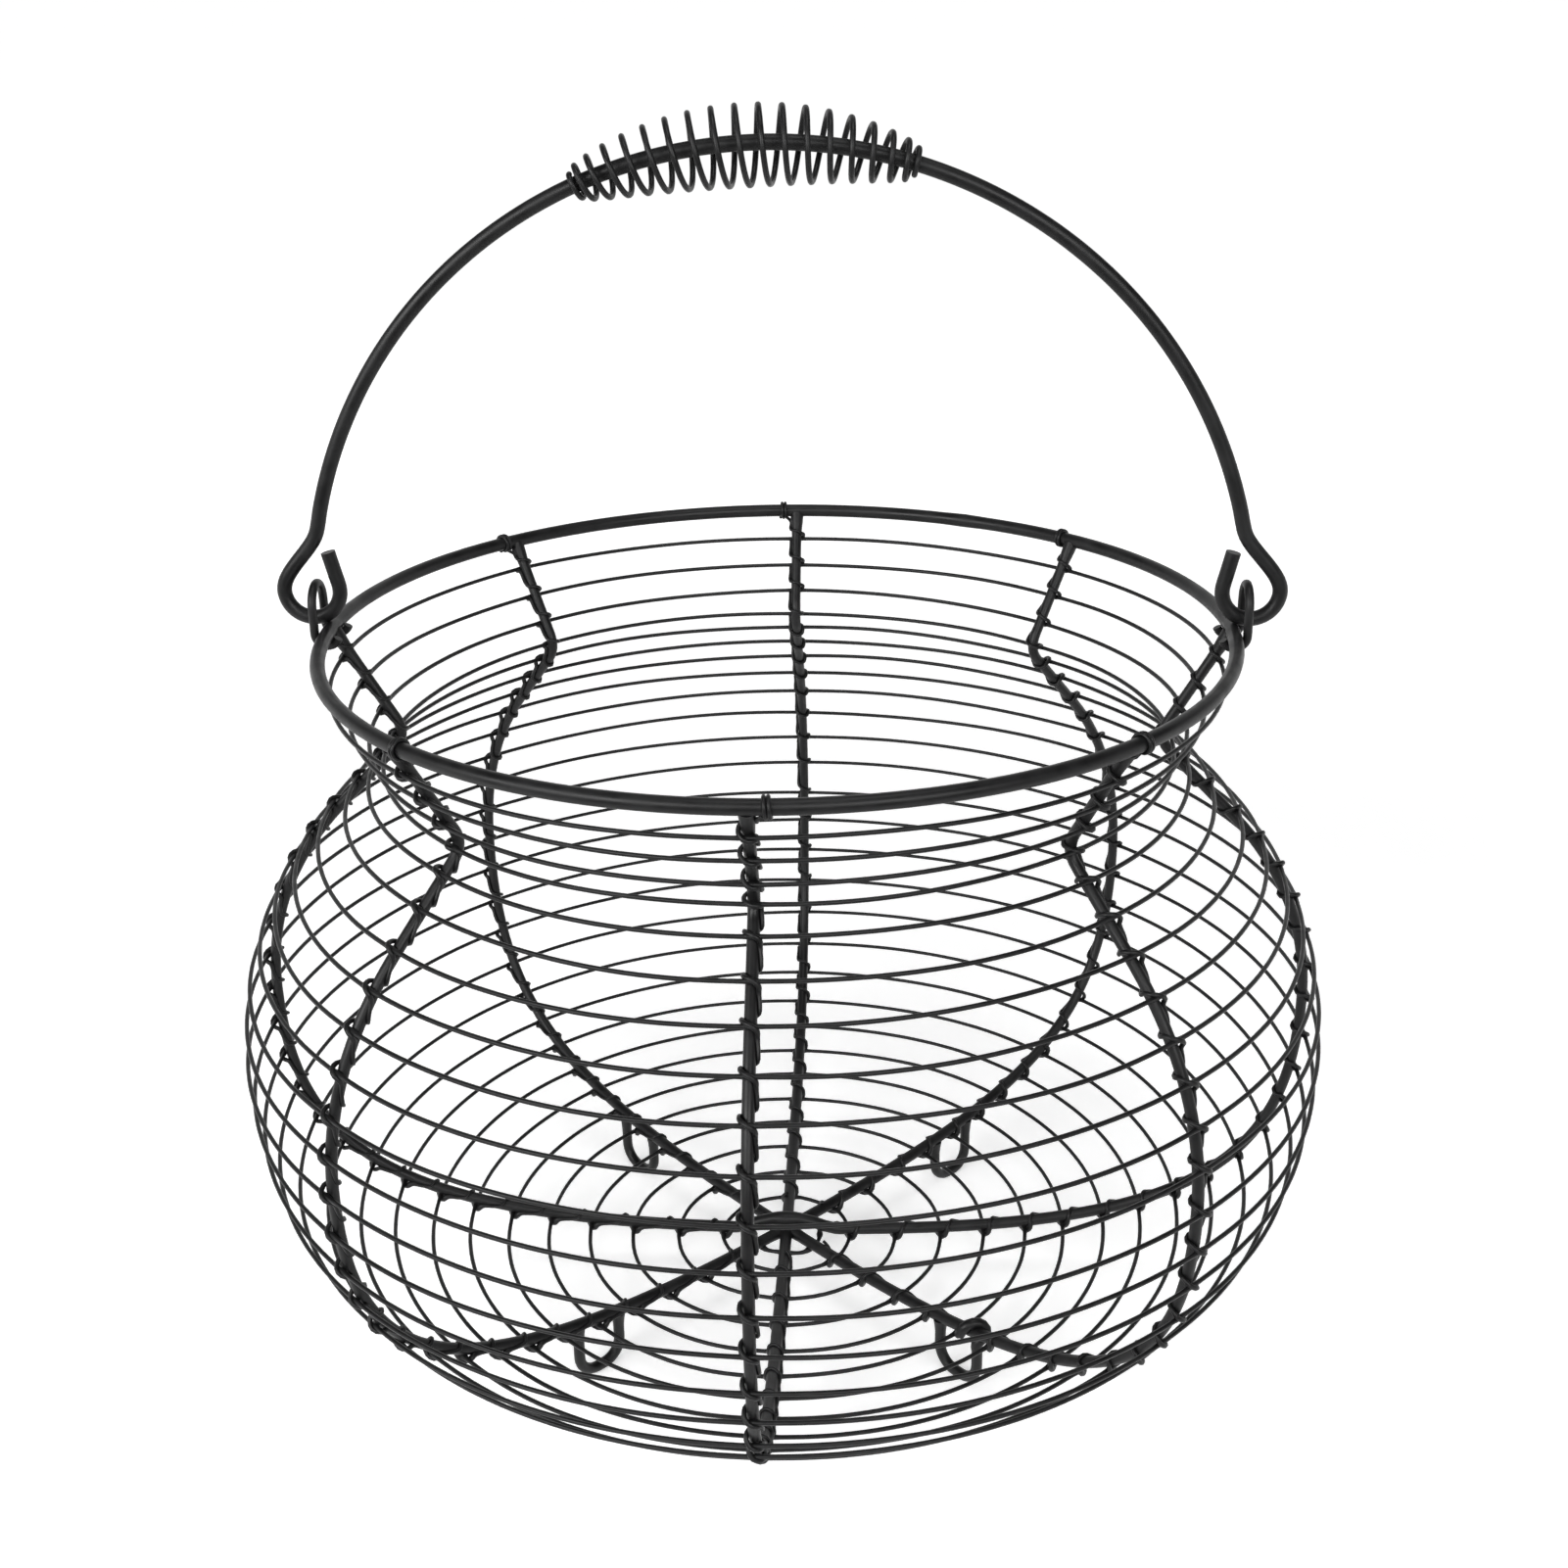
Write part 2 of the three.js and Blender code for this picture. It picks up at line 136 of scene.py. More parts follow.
class BasketHoops(bpy.types.PropertyGroup):
    """Spacing of the hoops along the ribs, and how true they are."""

    flare_count: IntProperty(name="Flare hoops", description="From rim to neck", default=4)
    shoulder_count: IntProperty(name="Shoulder hoops", description="Below the neck", default=3)
    shoulder_growth: number(
        "Shoulder growth", "Each pitch below the neck over the one before it", 1.1
    )
    wall_count: IntProperty(name="Wall hoops", description="Round the belly", default=15)
    wall_pitch: length("Wall pitch", "Between hoops round the belly, on average", 10.1)
    wall_growth: number("Wall growth", "Each pitch round the belly over the one before it", 1.003)
    base_count: IntProperty(name="Base hoops", description="Under the basket", default=6)
    base_growth: number("Base growth", "Each pitch under the basket over the one before it", 1.04)
    last_radius: length("Last bound hoop", "Radius of the innermost bound hoop", 17.6)
    centre_radius: length("Centre ring", "Radius of the ring at the centre", 9.5)
    drift: length("Drift", "How far a hoop strays along a rib", 0.4)
    wave: length("Wave", "How far a hoop waves between ribs", 0.22)
    paint_build: number("Paint build-up", "Extra thickness of paint where hoops cross ribs", 0.3)
    base_paint_build: number(
        "Paint build-up below", "The same under the basket, where paint pools", 0.75
    )
    paint_reach: length("Paint reach", "How far the build-up runs along a hoop", 1.5)
    seed: IntProperty(name="Seed", description="Of the hoops' drift and waves", default=12)


class BasketBindings(bpy.types.PropertyGroup):
    """Course of the wire that lashes the hoops to a rib."""

    press: length("Press", "How deep the wire sits in the paint on the rib", 0.1)
    wrap: length("Wrap", "From a crossing to where the turn reaches the rib's side", 1.9)
    slack: length("Slack", "How far the wire may stand off the rib between hoops", 0.1)
    loop: length("Loop", "How far its loops stand off the rib under the rim", 0.3)
    paint_build: number(
        "Paint build-up", "Extra thickness of paint where the wire crosses a hoop", 0.3
    )
    base_paint_build: number(
        "Paint build-up below", "The same under the basket, where paint pools", 0.75
    )
    tie_offset: length("Tie offset", "From the rib to the nearer turn round the rim", 3.0)
    tail: length("Tail", "Free end beyond the last hoop", 4)
    seed: IntProperty(name="Seed", description="Of the turns' small differences", default=5)


class BasketFeet(bpy.types.PropertyGroup):
    """Loops under the diagonal ribs."""

    radius: length("Radius", "From the basket's centre to the middle of a foot", 66.5)
    width: length("Width", "Between the legs", 13)
    corner: length("Corner", "Radius of the bends", 5.5)
    weld: number("Weld", "Extra thickness of a leg at its weld", 0.35)


class BasketHandle(bpy.types.PropertyGroup):
    """Handle wire, its eyes and its grip."""

    eye_width: length("Eye width", "Between the legs of an eye", 10.4)
    eye_height: length("Eye height", "Above the middle of the rim", 11.5)
    eye_clasp: angle("Eye clasp", "How far each leg runs round the rim", 160)
    arch_radius: length("Arch radius", "About the middle of the rim", 116)
    arch_end_height: length("Arch end", "Above the rim, where the hook begins", 25.5)
    hook_radius: length("Hook radius", "To the middle of the wire", 7)
    hook_outset: length("Hook outset", "From the rim's middle to the hook's", 4)
    hook_bend_pull: length("Hook bend", "Softness of the bend above the hook", 5)
    hook_lean: angle("Hook lean", "Of the free end towards the arch", 13)
    hook_end_run: length("Hook end", "Straight run at the free end", 8.5)
    grip_turns: number("Grip turns", "Turns of the coil", 18.5)
    grip_length: length("Grip length", "Along the arch", 80.5)
    grip_shift: length("Grip shift", "Along the arch, from its crown", -5.9)
    grip_diameter: length("Grip diameter", "Over the widest turn", 18.9)
    grip_ease: length("Grip ease", "Play of the close-wound turns on the handle wire", 0.45)
    grip_end_pitch: length("Grip end pitch", "Between the close-wound turns", 0.8)
    grip_sag: length("Grip sag", "How far the wide turns hang below the handle wire", 0.6)
    grip_pitch_power: IntProperty(
        name="Grip opening",
        description="The higher, the shorter the close-wound ends",
        default=5,
    )


class BasketPaint(bpy.types.PropertyGroup):
    """Satin black paint."""

    dark: FloatVectorProperty(
        name="Dark",
        description="Colour in the hollows of the paint",
        subtype="COLOR",
        default=(0.0036, 0.0036, 0.0038),
    )
    pale: FloatVectorProperty(
        name="Pale",
        description="Colour where the paint is dusty or rubbed",
        subtype="COLOR",
        default=(0.0105, 0.0105, 0.0109),
    )
    roughness_low: number("Glossiest", "Roughness where the paint is smooth", 0.35)
    roughness_high: number("Dullest", "Roughness where the paint is grainy", 0.52)
    specular: number("Specular", "Specular level", 0.3)
    peel: length("Peel", "Depth of the paint's orange peel", 0.035)
    rod_grain: length("Rod grain", "Size of the unevenness on the thick wires", 1.1)
    wire_grain: length("Wire grain", "Size of the unevenness on the thin wires", 0.6)


class BasketStage(bpy.types.PropertyGroup):
    """Floor, lights and camera."""

    floor: FloatVectorProperty(
        name="Floor",
        description="Colour of the floor and backdrop",
        subtype="COLOR",
        default=(0.86, 0.86, 0.86),
    )
    near_glow: number(
        "Near glow", "White that the floor shows under the basket, on top of its lit colour", 0.5
    )
    # front_glow is also the grey glow on the floor before the basket, painted shade of an unlit
    # room
    front_glow: number(
        "Front glow", "Grey of the room before the basket; behind the basket it is white", 0.25
    )
    ambient: number("Ambient", "Strength of the light from all round above", 0.12)
    overhead_power: FloatProperty(
        name="Overhead", description="Lamp above the basket", default=4, subtype="POWER"
    )
    left_power: FloatProperty(
        name="Left", description="Lamp in front on the left", default=22, subtype="POWER"
    )
    right_power: FloatProperty(
        name="Right", description="Lamp in front on the right", default=13, subtype="POWER"
    )
    lens: number("Lens", "In millimetres", 47.09)


# Centre line of a rib


RIB_RUN_POINTS = 200


def quadratic(start, corner, end):
    """A bend from start to end that leaves each towards the corner."""
    return interpolate_bezier(
        start, start.lerp(corner, 2 / 3), end.lerp(corner, 2 / 3), end, RIB_RUN_POINTS
    )


class RibLine:
    """A rib's middle from the rim to the base centre, found by its length from the rim."""

    def __init__(self, body):
        rim = Vector((body.rim_radius, body.rim_height, 0))
        neck = Vector((body.neck_radius, body.neck_height, 0))
        belly = Vector((body.belly_radius, body.belly_height, 0))
        base = Vector((0, body.base_height, 0))
        slope = body.shoulder_angle
        flare = (neck - rim).normalized()
        shoulder = Vector((math.sin(slope), -math.cos(slope), 0))
        bend_start = neck - flare * body.neck_bend
        bend_end = neck + shoulder * body.neck_bend
        run_end = neck + shoulder * body.shoulder_run
        corner_drop = (body.belly_radius - run_end.x) / math.tan(slope)
        wall_pull = Vector((0, body.bowl_fullness * (belly.y - base.y), 0))
        base_pull = Vector((body.bowl_fullness * belly.x, 0, 0))
        runs = (
            [rim, bend_start],
            quadratic(bend_start, neck, bend_end),
            [bend_end, run_end],
            quadratic(run_end, Vector((belly.x, run_end.y - corner_drop, 0)), belly),
            interpolate_bezier(belly, belly - wall_pull, base + base_pull, base, RIB_RUN_POINTS),
        )
        self.points = [rim]
        self.lengths = [0.0]
        ends = []
        for run in runs:
            for point in run[1:]:
                self.lengths.append(self.lengths[-1] + (point - self.points[-1]).length)
                self.points.append(point)
            ends.append(self.lengths[-1])
        self.neck_station = (ends[0] + ends[1]) / 2
        self.shoulder_station = ends[2]
        self.length = ends[-1]

    def at(self, station):
        """The middle and the outward normal, as (radius, height) pairs."""
        last = len(self.lengths) - 1
        after = min(max(bisect_left(self.lengths, station), 1), last)
        start, end = self.points[after - 1], self.points[after]
        run = self.lengths[after] - self.lengths[after - 1]
        share = (station - self.lengths[after - 1]) / run
        along = (end - start).normalized()
        return start + (end - start) * share, Vector((-along.y, along.x, 0))

    def beside(self, station, sideways=0.0, outward=0.0):
        """A point beside the rib that lies in the plane y = 0."""
        middle, normal = self.at(station)
        place = middle + normal * outward
        return Vector((place.x, sideways, place.y))

    def around(self, station, turn, radius):
        """A point round the rib: turn 0 is its outside and a quarter turn its right side."""
        return self.beside(station, radius * math.sin(turn), radius * math.cos(turn))

    def station_at_radius(self, radius):
        """The station under the basket that lies this far from its axis."""
        for station, point in zip(reversed(self.lengths), reversed(self.points)):
            if point.x >= radius:
                return station
        raise ValueError("no rib reaches that radius")


def spread(start, end, count, growth=1.0):
    """Stations after start up to end, each pitch grown from the one before it."""
    shares = [sum(growth**k for k in range(i + 1)) for i in range(count)]
    return [start + (end - start) * share / shares[-1] for share in shares]


def bound_stations(line, hoops):
    """Stations of the hoops that are lashed to the ribs."""
    base = line.shoulder_station + hoops.wall_count * hoops.wall_pitch
    return (
        spread(0, line.neck_station, hoops.flare_count)
        + spread(
            line.neck_station, line.shoulder_station, hoops.shoulder_count, hoops.shoulder_growth
        )
        + spread(line.shoulder_station, base, hoops.wall_count, hoops.wall_growth)
        + spread(base, line.length - hoops.last_radius, hoops.base_count, hoops.base_growth)
    )


def crossing_table(line, hoops):
    """For each hoop, its station on each rib: the hoops stray a little, as bent by hand."""
    rng = random.Random(hoops.seed)
    table = []
    for station in bound_stations(line, hoops) + [line.length - hoops.centre_radius]:
        table.append([station + rng.uniform(-1, 1) * hoops.drift for _ in RIB_NAMES])
    return table


# Paint pools on the hoops under the basket and on this many of the wall's lowest
POOLED_WALL_HOOPS = 3


def is_pooled(number, hoops):
    """Whether paint has pooled on a hoop, counted from 0 under the rim."""
    dry = hoops.flare_count + hoops.shoulder_count + hoops.wall_count - POOLED_WALL_HOOPS
    return number >= dry


def polar(radius, turn, height):
    """A point by its distance from the basket's axis, its bearing and its height."""
    return Vector((radius * math.cos(turn), radius * math.sin(turn), height))


def round_rim(body, reach, bearing, sideways):
    """A point round the rim's wire: bearing 0 is its outside and a quarter turn its top."""
    return Vector(
        (
            body.rim_radius + reach * math.cos(bearing),
            sideways,
            body.rim_height + reach * math.sin(bearing),
        )
    )


def turned(points, azimuth):
    """The points turned about the basket's axis."""
    turn = Matrix.Rotation(azimuth, 3, "Z")
    return [turn @ point for point in points]


def diagonals():
    """Names and azimuths of the ribs that end at the base crossing, which carry the feet."""
    return [(name, i * RIB_SPACING) for i, name in enumerate(RIB_NAMES) if i % 2]


def mirrored(half):
    """A path that starts on the plane x = 0, with its mirror image before it."""
    return [Vector((-p.x, p.y, p.z)) for p in reversed(half[1:])] + half


# Wires


SMOOTH_ANGLE = math.radians(50)
JOIN_DISTANCE = 1e-6
CHAMFER_SEGMENTS = 2


def draw_wire(name, points, diameter, sides, closed=False, swell=None, smooth=3):
    """Draws a wire from point to point and gives it a round section and shut ends.

    swell is the thickness at each point against the diameter, sides the number of sides of
    the section, and smooth the number of steps from point to point.
    """
    bpy.ops.object.select_all(action="DESELECT")
    bpy.ops.curve.primitive_bezier_curve_add(enter_editmode=True)
    bpy.ops.curve.select_all(action="SELECT")
    bpy.ops.curve.delete(type="VERT")
    for point in points:
        bpy.ops.curve.vertex_add(location=point)
    bpy.ops.curve.select_all(action="SELECT")
    bpy.ops.curve.handle_type_set(type="AUTOMATIC")
    if closed:
        bpy.ops.curve.cyclic_toggle()
    bpy.ops.object.mode_set(mode="OBJECT")
    wire = bpy.context.object
    wire.name = name
    curve = wire.data
    curve.dimensions = "3D"
    curve.resolution_u = smooth
    curve.bevel_depth = diameter / 2
    # A round bevel has four sides, and two more for each step of its resolution
    curve.bevel_resolution = (sides - 4) // 2
    curve.use_fill_caps = not closed
    for point, share in zip(curve.splines[0].bezier_points, swell or ()):
        point.radius = share
    bpy.ops.object.convert(target="MESH")
    wire = bpy.context.object
    bpy.ops.object.mode_set(mode="EDIT")
    bpy.ops.mesh.select_all(action="SELECT")
    bpy.ops.mesh.remove_doubles(threshold=JOIN_DISTANCE)
    bpy.ops.mesh.normals_make_consistent(inside=False)
    bpy.ops.object.mode_set(mode="OBJECT")
    bpy.ops.object.shade_smooth_by_angle(angle=SMOOTH_ANGLE)
    return wire


def chamfer_ends(sides, width):
    """Breaks the sharp edge round each cut end of the wire that was drawn last."""
    bpy.ops.object.mode_set(mode="EDIT")
    bpy.ops.mesh.select_mode(type="FACE")
    bpy.ops.mesh.select_all(action="DESELECT")
    bpy.ops.mesh.select_face_by_sides(number=sides, type="EQUAL")
    bpy.ops.mesh.bevel(offset=width, segments=CHAMFER_SEGMENTS, affect="EDGES")
    bpy.ops.object.mode_set(mode="OBJECT")
    bpy.ops.object.shade_smooth_by_angle(angle=SMOOTH_ANGLE)


def fit(wire, node, body, finish):
    """Paints a wire and puts it in the place of its node."""
    wire.data.materials.clear()
    wire.data.materials.append(finish)
    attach(wire, body)
    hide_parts(node)


# Paint


CLOUD_FINENESS = 0.16
CLOUD_DETAIL = 5
TINT_RANGE = (0.34, 0.7)
DULL_RANGE = (0.3, 0.7)
PEEL_DETAIL = 3
PEEL_STRENGTH = 0.5


def map_range(nodes, links, value, source, target, easing="SMOOTHSTEP"):
    """Takes a value from one range to another; an end of the target may be a socket."""
    fade = nodes.new("ShaderNodeMapRange")
    fade.interpolation_type = easing
    links.new(value, fade.inputs["Value"])
    fade.inputs["From Min"].default_value, fade.inputs["From Max"].default_value = source
    for name, end in zip(("To Min", "To Max"), target):
        if isinstance(end, bpy.types.NodeSocket):
            links.new(end, fade.inputs[name])
        else:
            fade.inputs[name].default_value = end
    return fade.outputs["Result"]


def noise(nodes, links, place, scale, detail):
    """Noise that stays with the object."""
    cloud = nodes.new("ShaderNodeTexNoise")
    cloud.inputs["Scale"].default_value = scale
    cloud.inputs["Detail"].default_value = detail
    links.new(place.outputs["Object"], cloud.inputs["Vector"])
    return cloud.outputs["Fac"]


def satin_black(name, paint, grain):
    """Satin black paint; grain is the size of its finest unevenness."""
    found = bpy.data.materials.get(name)
    if found:
        return found
    finish = bpy.data.materials.new(name)
    finish.use_nodes = True
    nodes, links = finish.node_tree.nodes, finish.node_tree.links
    shader = nodes["Principled BSDF"]
    shader.inputs["Specular IOR Level"].default_value = paint.specular
    place = nodes.new("ShaderNodeTexCoord")
    cloud = noise(nodes, links, place, CLOUD_FINENESS / grain, CLOUD_DETAIL)
    tint = nodes.new("ShaderNodeValToRGB")
    stops = tint.color_ramp.elements
    stops[0].position, stops[1].position = TINT_RANGE
    stops[0].color, stops[1].color = (*paint.dark, 1), (*paint.pale, 1)
    links.new(cloud, tint.inputs["Fac"])
    links.new(tint.outputs["Color"], shader.inputs["Base Color"])
    gloss = (paint.roughness_low, paint.roughness_high)
    dulling = map_range(nodes, links, cloud, DULL_RANGE, gloss, "LINEAR")
    links.new(dulling, shader.inputs["Roughness"])
    relief = nodes.new("ShaderNodeBump")
    relief.inputs["Strength"].default_value = PEEL_STRENGTH
    relief.inputs["Distance"].default_value = paint.peel
    peel = noise(nodes, links, place, 1 / grain, PEEL_DETAIL)
    links.new(peel, relief.inputs["Height"])
    links.new(relief.outputs["Normal"], shader.inputs["Normal"])
    return finish


def rod_paint(scene):
    """Paint on the thick wires."""
    return satin_black("satin_black_rod", scene.basket_paint, scene.basket_paint.rod_grain)


def wire_paint(scene):
    """Paint on the thin wires, where it lies finer."""
    return satin_black("satin_black_wire", scene.basket_paint, scene.basket_paint.wire_grain)


# Body


class EGGBASKET_OT_rim(bpy.types.Operator):
    """Bends the rim ring and welds its ends together"""

    bl_idname = "egg_basket.rim"
    bl_label = "Rim"

    def execute(self, context):
        scene = context.scene
        body = scene.basket_body
        count = 96
        waver = 0.12 * MM
        weld_point, weld_swell = 17, 1.07
        points, swell = [], []
        for i in range(count):
            turn = math.tau * i / count
            stray = waver * math.sin(3 * turn + 1) * math.sin(2 * turn)
            points.append(polar(body.rim_radius + stray, turn, body.rim_height))
            swell.append(weld_swell if i == weld_point else 1.0)
        rim = draw_wire(
            "rim_ring", points, scene.basket_wires.rim, 16, closed=True, swell=swell, smooth=2
        )
        fit(rim, "rim", "basket", rod_paint(scene))
        return {"FINISHED"}


class EGGBASKET_OT_ribs(bpy.types.Operator):
    """Bends the ribs: two run through from rim to rim, four end at the base crossing"""

    bl_idname = "egg_basket.ribs"
    bl_label = "Ribs"

    # Extra thickness and reach of the weld under the rim, the reach in points squared
    WELD_SWELL, WELD_REACH = 0.42, 3
    # The same where the ribs cross
    JOINT_SWELL, JOINT_REACH = 0.45, 3 * MM
    # Paint that gathers below a height, and the rise over which it thins out
    POOL_SWELL, POOL_HEIGHT, POOL_FADE = 0.16, 14 * MM, 30 * MM

    def execute(self, context):
        scene = context.scene
        wires, line = scene.basket_wires, RibLine(scene.basket_body)
        step, sunk_in_rim, clearance = 2.6 * MM, 0.9 * MM, 0.3 * MM
        top = wires.rim / 2 - sunk_in_rim
        rise_start, rise_end = 14 * MM, 4 * MM
        rise = wires.rib + clearance
        short = 1.15 * wires.rib

        def wall(end):
            """Points from the rim to a station."""
            count = round((end - top) / step)
            return [line.beside(top + (end - top) * i / count) for i in range(count + 1)]

        def painted(points):
            """The rib's thickness at each point, with its weld at the first."""
            swell = []
            for i, point in enumerate(points):
                weld = self.WELD_SWELL * math.exp(-(i**2) / self.WELD_REACH)
                joint = self.JOINT_SWELL * math.exp(-((point.x / self.JOINT_REACH) ** 2))
                dry = min(1, max(0, (point.z - self.POOL_HEIGHT) / self.POOL_FADE))
                swell.append(1 + weld + joint + self.POOL_SWELL * (1 - dry))
            return swell

        through = mirrored(list(reversed(wall(line.length))))
        crown = Vector((0, 0, scene.basket_body.base_height + rise))
        lifted = list(reversed(wall(line.length - rise_start)))
        over = mirrored([crown, crown + Vector((rise_end, 0, 0))] + lifted)
        for name, points, azimuth in (
            ("front_back", through, math.pi / 2),
            ("left_right", over, 0.0),
        ):
            half = painted(points)
            swell = [max(pair) for pair in zip(half, reversed(half))]
            self.bend(scene, name, turned(points, azimuth), swell)
        points = wall(line.length - short)
        for name, azimuth in diagonals():
            self.bend(scene, name, turned(points, azimuth), painted(points))
        return {"FINISHED"}

    @staticmethod
    def bend(scene, name, points, swell):
        rib = draw_wire(f"rib_{name}_rod", points, scene.basket_wires.rib, 12, swell=swell)
        fit(rib, f"rib_{name}", "basket", rod_paint(scene))


class EGGBASKET_OT_hoops(bpy.types.Operator):
    """Lays the hoops round the ribs, a little uneven, with paint pooled where they cross"""

    bl_idname = "egg_basket.hoops"
    bl_label = "Hoops"

    # Distances of a hoop's points from a rib, and their spacing from there on
    NEAR = (0, 0.9 * MM, 1.9 * MM, 3.4 * MM)
    STEP = 9 * MM
    # A hoop bows outwards by up to 1 wave, and inwards by less
    BOW_RANGE = (-0.2, 1)

    def execute(self, context):
        scene = context.scene
        wires, hoops = scene.basket_wires, scene.basket_hoops
        line = RibLine(scene.basket_body)
        rng = random.Random(hoops.seed + 1)
        seat = (wires.rib + wires.hoop) / 2
        table = crossing_table(line, hoops)
        for number, crossings in enumerate(table, start=1):
            pooled = is_pooled(number - 1, hoops)
            build = hoops.base_paint_build if pooled else hoops.paint_build
            points, swell = self.course(line, crossings, seat, hoops, build, rng)
            hoop = draw_wire(
                f"hoop_{number:02d}_wire", points, wires.hoop, 8, closed=True, swell=swell
            )
            fit(hoop, f"hoop_{number:02d}", "basket", wire_paint(scene))
        return {"FINISHED"}

    def course(self, line, crossings, seat, hoops, build, rng):
        """Points of one hoop, and its thickness at each."""
        seats = [line.beside(station, 0, seat) for station in crossings]
        points, swell = [], []
        for i, start in enumerate(seats):
            end = seats[(i + 1) % len(seats)]
            run = RIB_SPACING * (start.x + end.x) / 2
            clear = self.NEAR[-1]
            free = run - 2 * clear
            count = max(1, round(free / self.STEP))
            places = [*self.NEAR] + [clear + free * k / count for k in range(1, count)]
            places += [run - d for d in reversed(self.NEAR[1:])]
            bow = rng.uniform(*self.BOW_RANGE) * hoops.wave
            lift = rng.uniform(-1, 1) * hoops.wave
            skew = rng.uniform(-1, 1) * hoops.wave
            for place in places:
                share = place / run
                smooth = share * share * (3 - 2 * share)
                between = math.sin(math.pi * share)
                radius = start.x + (end.x - start.x) * smooth + bow * between
                height = start.z + (end.z - start.z) * smooth + lift * between
                height += skew * math.sin(2 * math.pi * share)
                points.append(polar(radius, (i + share) * RIB_SPACING, height))
                off = min(place, run - place) / hoops.paint_reach
                swell.append(1 + build * math.exp(-off * off))
        return points, swell


class EGGBASKET_OT_bindings(bpy.types.Operator):
    """Winds one binding wire down each rib, once over every hoop, from a tie round the rim"""

    bl_idname = "egg_basket.bindings"
    bl_label = "Bindings"

    TIE_TURNS, TIE_POINTS = 2, 24
    # Where the lashing starts, below the middle of the rim
    START = 0.6 * MM
    # From hoop to hoop: share of the run, bearing round the rib in degrees, and how far the
    # wire stands off the rib as shares of its slack and of its loop
    BEHIND = (
        (0.34, 74, 0, 0),
        (0.55, 93, 1, 0),
        (0.68, 113, 0.3, 0),
        (0.755, 180, 0, 0),
        (0.825, 240, 0, 0.3),
    )
    # Under the rim the wire goes behind the rib later, by this share of the run
    LATE_UNDER_RIM, LATE_RANGE = 0.045, (-0.03, 0.03)
    # The most of a run that a crossing takes up on each side of its hoop
    WRAP_UNDER_RIM, WRAP_BELOW = 0.12, 0.2
    # How far the wire dips before and after it crosses a hoop
    DIP_BEFORE, DIP_AFTER = 0.45 * MM, 0.25 * MM
    # The free end: where it bends, its bearings in degrees and how far it stands off
    TAIL_BEND, TAIL_BEARING = 0.7, 105
    TAIL_END_BEARINGS, TAIL_STAND_OFF = (150, 200), (0.1, 0.5)

    def execute(self, context):
        scene = context.scene
        wires, hoops = scene.basket_wires, scene.basket_hoops
        bindings = scene.basket_bindings
        line = RibLine(scene.basket_body)
        table = crossing_table(line, hoops)[:-1]
        rng = random.Random(bindings.seed)
        for i, name in enumerate(RIB_NAMES):
            has_eye = i % 4 == 0
            stations = [crossings[i] for crossings in table]
            points = [] if has_eye else self.tie(scene.basket_body, wires, bindings)
            swell = [1.0] * len(points)
            for point, share in self.lashing(line, stations, hoops, wires, bindings, rng):
                points.append(point)
                swell.append(share)
            points += self.tail(line, stations[-1], wires, bindings, rng)
            swell += [1.0] * (len(points) - len(swell))
            turned_points = turned(points, i * RIB_SPACING)
            binding = draw_wire(
                f"binding_{name}_wire", turned_points, wires.binding, 8, swell=swell, smooth=2
            )
            fit(binding, f"binding_{name}", "basket", wire_paint(scene))
        return {"FINISHED"}

    def tie(self, body, wires, bindings):
        """Two turns round the rim, side by side, from its underside to its underside."""
        reach = (wires.rim + wires.binding) / 2 - bindings.press
        points = []
        for k in range(self.TIE_POINTS + 1):
            turns = self.TIE_TURNS * k / self.TIE_POINTS
            sideways = bindings.tie_offset + wires.binding * (self.TIE_TURNS - turns)
            points.append(round_rim(body, reach, turns * math.tau - math.pi / 2, sideways))
        return points

    def lashing(self, line, stations, hoops, wires, bindings, rng):
        """Over each hoop from upper left to lower right, then behind the rib to the next.

        Each point comes with the wire's thickness there, which grows where paint has pooled.
        """
        snug = (wires.rib + wires.binding) / 2 - bindings.press
        over = snug + wires.hoop
        course = []
        before = self.START
        for number, station in enumerate(stations):
            run = station - before
            slack = bindings.slack * rng.uniform(0.3, 1)
            under_rim = number < hoops.flare_count
            most = self.WRAP_UNDER_RIM if under_rim else self.WRAP_BELOW
            wrap = min(bindings.wrap, run * most)
            loop = bindings.loop * rng.uniform(0.6, 1.2) if under_rim else slack
            pooled = is_pooled(number, hoops)
            build = bindings.base_paint_build if pooled else bindings.paint_build
            late = self.LATE_UNDER_RIM if under_rim else rng.uniform(*self.LATE_RANGE)
            for share, degrees, slack_share, loop_share in self.BEHIND:
                stand_off = slack_share * slack + loop_share * loop
                place = before + run * (share + late)
                point = line.around(place, math.radians(degrees), snug + stand_off)
                course.append((point, 1.0))
            # Over the hoop: share of the wrap, bearing, distance from the rib's middle, thickness
            for share, degrees, radius, thickness in (
                (-1.0, -80, snug + loop, 1 + build / 2),
                (-0.55, -40, over - self.DIP_BEFORE, 1 + build),
                (0.0, 0, over, 1 + build),
                (0.55, 36, over - self.DIP_AFTER, 1 + build),
                (1.0, 60, snug, 1 + build),
            ):
                point = line.around(station + share * wrap, math.radians(degrees), radius)
                course.append((point, thickness))
            before = station
        return course

    def tail(self, line, station, wires, bindings, rng):
        """The wire's end, turned up beside the rib."""
        snug = (wires.rib + wires.binding) / 2
        bend, start = station + self.TAIL_BEND * bindings.tail, math.radians(self.TAIL_BEARING)
        end = math.radians(rng.uniform(*self.TAIL_END_BEARINGS))
        stand_off = rng.uniform(*self.TAIL_STAND_OFF) * MM
        return [
            line.around(bend, start, snug),
            line.around(station + bindings.tail, end, snug + stand_off),
        ]


